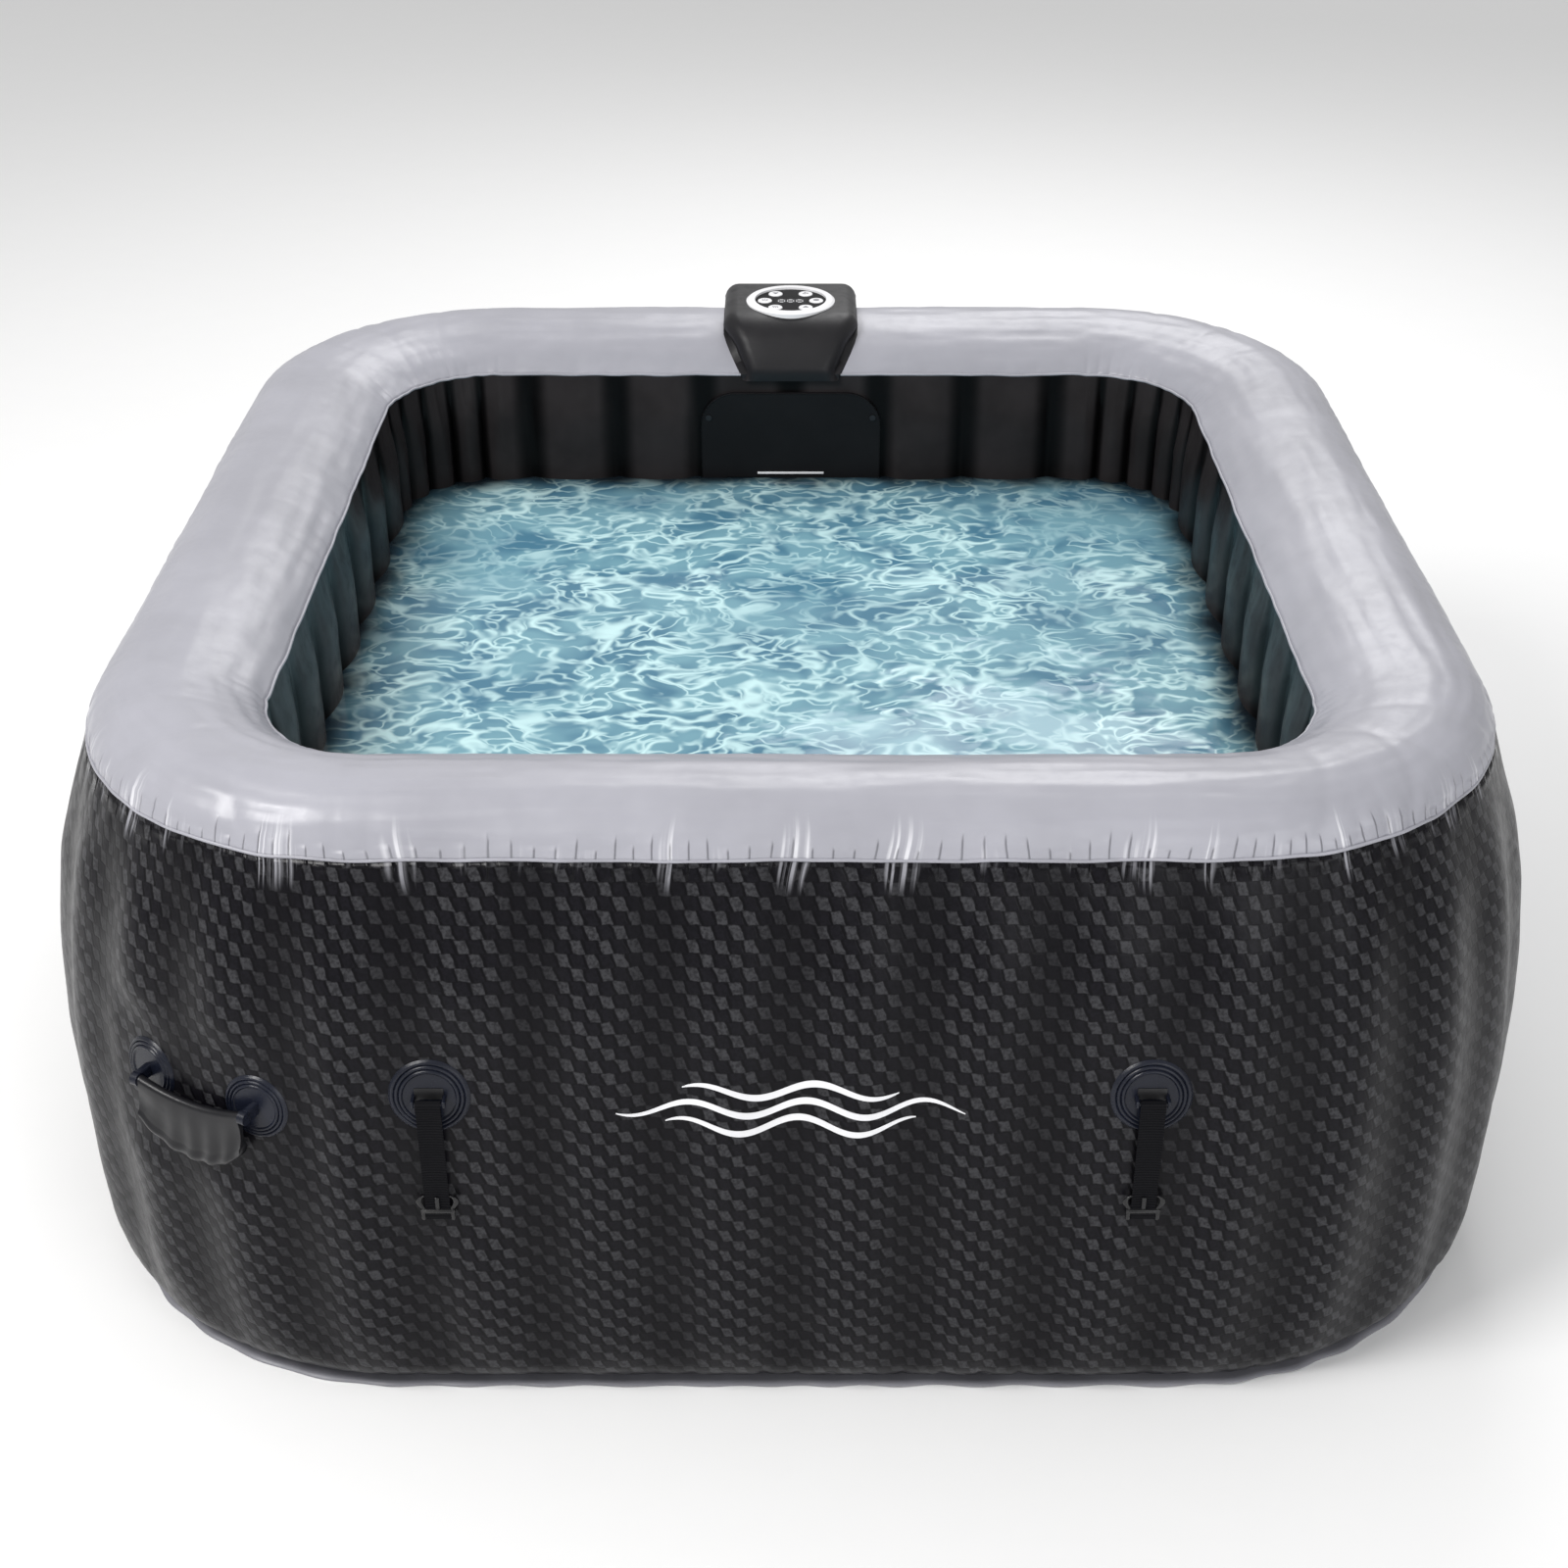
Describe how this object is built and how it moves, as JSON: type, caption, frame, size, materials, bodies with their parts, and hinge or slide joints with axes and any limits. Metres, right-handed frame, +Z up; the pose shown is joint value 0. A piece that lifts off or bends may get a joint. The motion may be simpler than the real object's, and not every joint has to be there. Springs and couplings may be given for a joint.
{
  "type": "inflatable hot tub",
  "caption": "Square inflatable hot tub with a light rim, dark beamed walls, cover straps, carry handles and a pump unit with a control head built into the rear wall.",
  "frame": {"origin": "centre of the base sheet, on the ground", "axes": "+Z up, the front with two cover straps and one carry handle faces -Y, the pump unit and the control head are at +Y"},
  "size_m": [1.578, 1.5765, 0.691],
  "materials": {
    "wall_vinyl": "charcoal vinyl printed with a lighter basket weave, slight sheen",
    "inner_vinyl": "near-black vinyl, slightly glossy",
    "rim_vinyl": "light lavender-grey vinyl, satin sheen",
    "base_vinyl": "dark vinyl, matt",
    "beam_vinyl": "dark vinyl strip",
    "seam_vinyl": "light grey vinyl weld",
    "channel_vinyl": "dark grey vinyl",
    "patch_vinyl": "blue-black vinyl, glossy, ribbed in rings",
    "grip_vinyl": "black vinyl sleeve, glossy",
    "valve_plastic": "dark grey moulded plastic",
    "cap_plastic": "black moulded plastic",
    "housing_plastic": "dark moulded plastic",
    "plate_plastic": "black moulded plastic, satin",
    "cover_plastic": "black moulded plastic, satin",
    "filter_paper": "white pleated filter paper",
    "nozzle_plastic": "dark moulded plastic",
    "impeller_plastic": "pale moulded plastic",
    "motor_metal": "grey painted metal",
    "heater_steel": "brushed stainless steel",
    "blower_plastic": "dark grey plastic",
    "hose_rubber": "grey hose",
    "gland_plastic": "black plastic gland",
    "board": "green circuit board",
    "saddle_rubber": "black rubber pad",
    "head_plastic": "dark grey moulded plastic, satin",
    "bezel_plastic": "white moulded plastic, glossy",
    "panel_plastic": "black plastic, glossy",
    "display_plastic": "dark smoked window",
    "button_plastic": "white plastic caps",
    "screw_steel": "plain steel screws",
    "webbing": "black ribbed webbing",
    "buckle_plastic": "black moulded plastic"
  },
  "bodies": {
    "tub": {"outer_wall": "wall_vinyl", "inner_wall": "inner_vinyl", "top_ring": "rim_vinyl", "base_sheet": "base_vinyl", "floor_liner": "inner_vinyl", "beam_webs": "beam_vinyl", "top_seams": "seam_vinyl", "bottom_flange": "seam_vinyl", "bubble_channel": "channel_vinyl", "handle_anchors": "patch_vinyl", "air_valve_body": "valve_plastic", "drain_valve_body": "valve_plastic", "strap_patches": "patch_vinyl", "pump_housing": "housing_plastic", "front_plate": "plate_plastic", "rear_cover": "cover_plastic", "return_nozzle": "nozzle_plastic", "pump_volute": "housing_plastic", "pump_motor": "motor_metal", "heater_tube": "heater_steel", "air_blower": "blower_plastic", "hoses": "hose_rubber", "cable_gland": "gland_plastic", "power_board": "board", "head_saddle": "saddle_rubber", "head_shell": "head_plastic", "bezel_ring": "bezel_plastic", "panel_face": "panel_plastic", "display_window": "display_plastic", "control_board": "board", "unit_screws": "screw_steel"},
    "strap_1": {"strap_webbing_1": "webbing"},
    "buckle_1": {"buckle_1": "buckle_plastic"},
    "strap_2": {"strap_webbing_2": "webbing"},
    "buckle_2": {"buckle_2": "buckle_plastic"},
    "strap_3": {"strap_webbing_3": "webbing"},
    "buckle_3": {"buckle_3": "buckle_plastic"},
    "strap_4": {"strap_webbing_4": "webbing"},
    "buckle_4": {"buckle_4": "buckle_plastic"},
    "strap_5": {"strap_webbing_5": "webbing"},
    "buckle_5": {"buckle_5": "buckle_plastic"},
    "strap_6": {"strap_webbing_6": "webbing"},
    "buckle_6": {"buckle_6": "buckle_plastic"},
    "strap_7": {"strap_webbing_7": "webbing"},
    "buckle_7": {"buckle_7": "buckle_plastic"},
    "strap_8": {"strap_webbing_8": "webbing"},
    "buckle_8": {"buckle_8": "buckle_plastic"},
    "grip_front": {"handle_grip_front": "grip_vinyl"},
    "grip_rear": {"handle_grip_rear": "grip_vinyl"},
    "air_cap": {"air_valve_cap": "cap_plastic"},
    "drain_cap": {"drain_valve_cap": "cap_plastic"},
    "filter": {"filter_cartridge": "filter_paper"},
    "filter_cover": {"filter_cover": "plate_plastic"},
    "impeller": {"pump_impeller": "impeller_plastic"},
    "button_1": {"button_1": "button_plastic"},
    "button_2": {"button_2": "button_plastic"},
    "button_3": {"button_3": "button_plastic"},
    "button_4": {"button_4": "button_plastic"},
    "button_5": {"button_5": "button_plastic"},
    "button_6": {"button_6": "button_plastic"}
  },
  "joints": [
    {"name": "strap_1_swing", "type": "hinge", "parent": "tub", "child": "strap_1", "pos_m": [0.7797, -0.341, 0.387], "axis": [0, -1, 0], "range_deg": [0, 110]},
    {"name": "buckle_1_flip", "type": "hinge", "parent": "strap_1", "child": "buckle_1", "pos_m": [0.7797, -0.341, 0.251], "axis": [0, 1, 0], "range_deg": [0, 165]},
    {"name": "strap_2_swing", "type": "hinge", "parent": "tub", "child": "strap_2", "pos_m": [0.7797, 0.341, 0.387], "axis": [0, -1, 0], "range_deg": [0, 110]},
    {"name": "buckle_2_flip", "type": "hinge", "parent": "strap_2", "child": "buckle_2", "pos_m": [0.7797, 0.341, 0.251], "axis": [0, 1, 0], "range_deg": [0, 165]},
    {"name": "strap_3_swing", "type": "hinge", "parent": "tub", "child": "strap_3", "pos_m": [0.341, 0.7797, 0.387], "axis": [1, 0, 0], "range_deg": [0, 110]},
    {"name": "buckle_3_flip", "type": "hinge", "parent": "strap_3", "child": "buckle_3", "pos_m": [0.341, 0.7797, 0.251], "axis": [-1, 0, 0], "range_deg": [0, 165]},
    {"name": "strap_4_swing", "type": "hinge", "parent": "tub", "child": "strap_4", "pos_m": [-0.341, 0.7797, 0.387], "axis": [1, 0, 0], "range_deg": [0, 110]},
    {"name": "buckle_4_flip", "type": "hinge", "parent": "strap_4", "child": "buckle_4", "pos_m": [-0.341, 0.7797, 0.251], "axis": [-1, 0, 0], "range_deg": [0, 165]},
    {"name": "strap_5_swing", "type": "hinge", "parent": "tub", "child": "strap_5", "pos_m": [-0.7797, 0.341, 0.387], "axis": [0, 1, 0], "range_deg": [0, 110]},
    {"name": "buckle_5_flip", "type": "hinge", "parent": "strap_5", "child": "buckle_5", "pos_m": [-0.7797, 0.341, 0.251], "axis": [0, -1, 0], "range_deg": [0, 165]},
    {"name": "strap_6_swing", "type": "hinge", "parent": "tub", "child": "strap_6", "pos_m": [-0.7797, -0.341, 0.387], "axis": [0, 1, 0], "range_deg": [0, 110]},
    {"name": "buckle_6_flip", "type": "hinge", "parent": "strap_6", "child": "buckle_6", "pos_m": [-0.7797, -0.341, 0.251], "axis": [0, -1, 0], "range_deg": [0, 165]},
    {"name": "strap_7_swing", "type": "hinge", "parent": "tub", "child": "strap_7", "pos_m": [-0.341, -0.7797, 0.387], "axis": [-1, 0, 0], "range_deg": [0, 110]},
    {"name": "buckle_7_flip", "type": "hinge", "parent": "strap_7", "child": "buckle_7", "pos_m": [-0.341, -0.7797, 0.251], "axis": [1, 0, 0], "range_deg": [0, 165]},
    {"name": "strap_8_swing", "type": "hinge", "parent": "tub", "child": "strap_8", "pos_m": [0.341, -0.7797, 0.387], "axis": [-1, 0, 0], "range_deg": [0, 110]},
    {"name": "buckle_8_flip", "type": "hinge", "parent": "strap_8", "child": "buckle_8", "pos_m": [0.341, -0.7797, 0.251], "axis": [1, 0, 0], "range_deg": [0, 165]},
    {"name": "grip_front_swing", "type": "hinge", "parent": "tub", "child": "grip_front", "pos_m": [-0.57674, -0.73952, 0.363], "axis": [-0.887, 0.4617, 0], "range_deg": [0, 120]},
    {"name": "grip_rear_swing", "type": "hinge", "parent": "tub", "child": "grip_rear", "pos_m": [0.57674, 0.73952, 0.363], "axis": [0.887, -0.4617, 0], "range_deg": [0, 120]},
    {"name": "air_cap_twist", "type": "hinge", "parent": "tub", "child": "air_cap", "pos_m": [0.75381, 0.15, 0.47], "axis": [0.9816, 0, 0.1909], "range_deg": [0, 90]},
    {"name": "drain_cap_twist", "type": "hinge", "parent": "tub", "child": "drain_cap", "pos_m": [0.77173, 0.15, 0.11], "axis": [0.9989, 0, -0.0467], "range_deg": [0, 90]},
    {"name": "filter_pull", "type": "slide", "parent": "tub", "child": "filter", "axis": [0, -1, 0], "range_m": [0, 0.14]},
    {"name": "filter_cover_twist", "type": "hinge", "parent": "filter", "child": "filter_cover", "pos_m": [0.052, 0.537, 0.347], "axis": [0, -1, 0], "range_deg": [0, 60]},
    {"name": "impeller_spin", "type": "hinge", "parent": "tub", "child": "impeller", "pos_m": [0, 0.6435, 0.462], "axis": [1, 0, 0], "continuous": true},
    {"name": "button_1_press", "type": "slide", "parent": "tub", "child": "button_1", "axis": [0, 0, -1], "range_m": [0, 0.0012], "stiffness_N_per_m": 500},
    {"name": "button_2_press", "type": "slide", "parent": "tub", "child": "button_2", "axis": [0, 0, -1], "range_m": [0, 0.0012], "stiffness_N_per_m": 500},
    {"name": "button_3_press", "type": "slide", "parent": "tub", "child": "button_3", "axis": [0, 0, -1], "range_m": [0, 0.0012], "stiffness_N_per_m": 500},
    {"name": "button_4_press", "type": "slide", "parent": "tub", "child": "button_4", "axis": [0, 0, -1], "range_m": [0, 0.0012], "stiffness_N_per_m": 500},
    {"name": "button_5_press", "type": "slide", "parent": "tub", "child": "button_5", "axis": [0, 0, -1], "range_m": [0, 0.0012], "stiffness_N_per_m": 500},
    {"name": "button_6_press", "type": "slide", "parent": "tub", "child": "button_6", "axis": [0, 0, -1], "range_m": [0, 0.0012], "stiffness_N_per_m": 500}
  ]
}
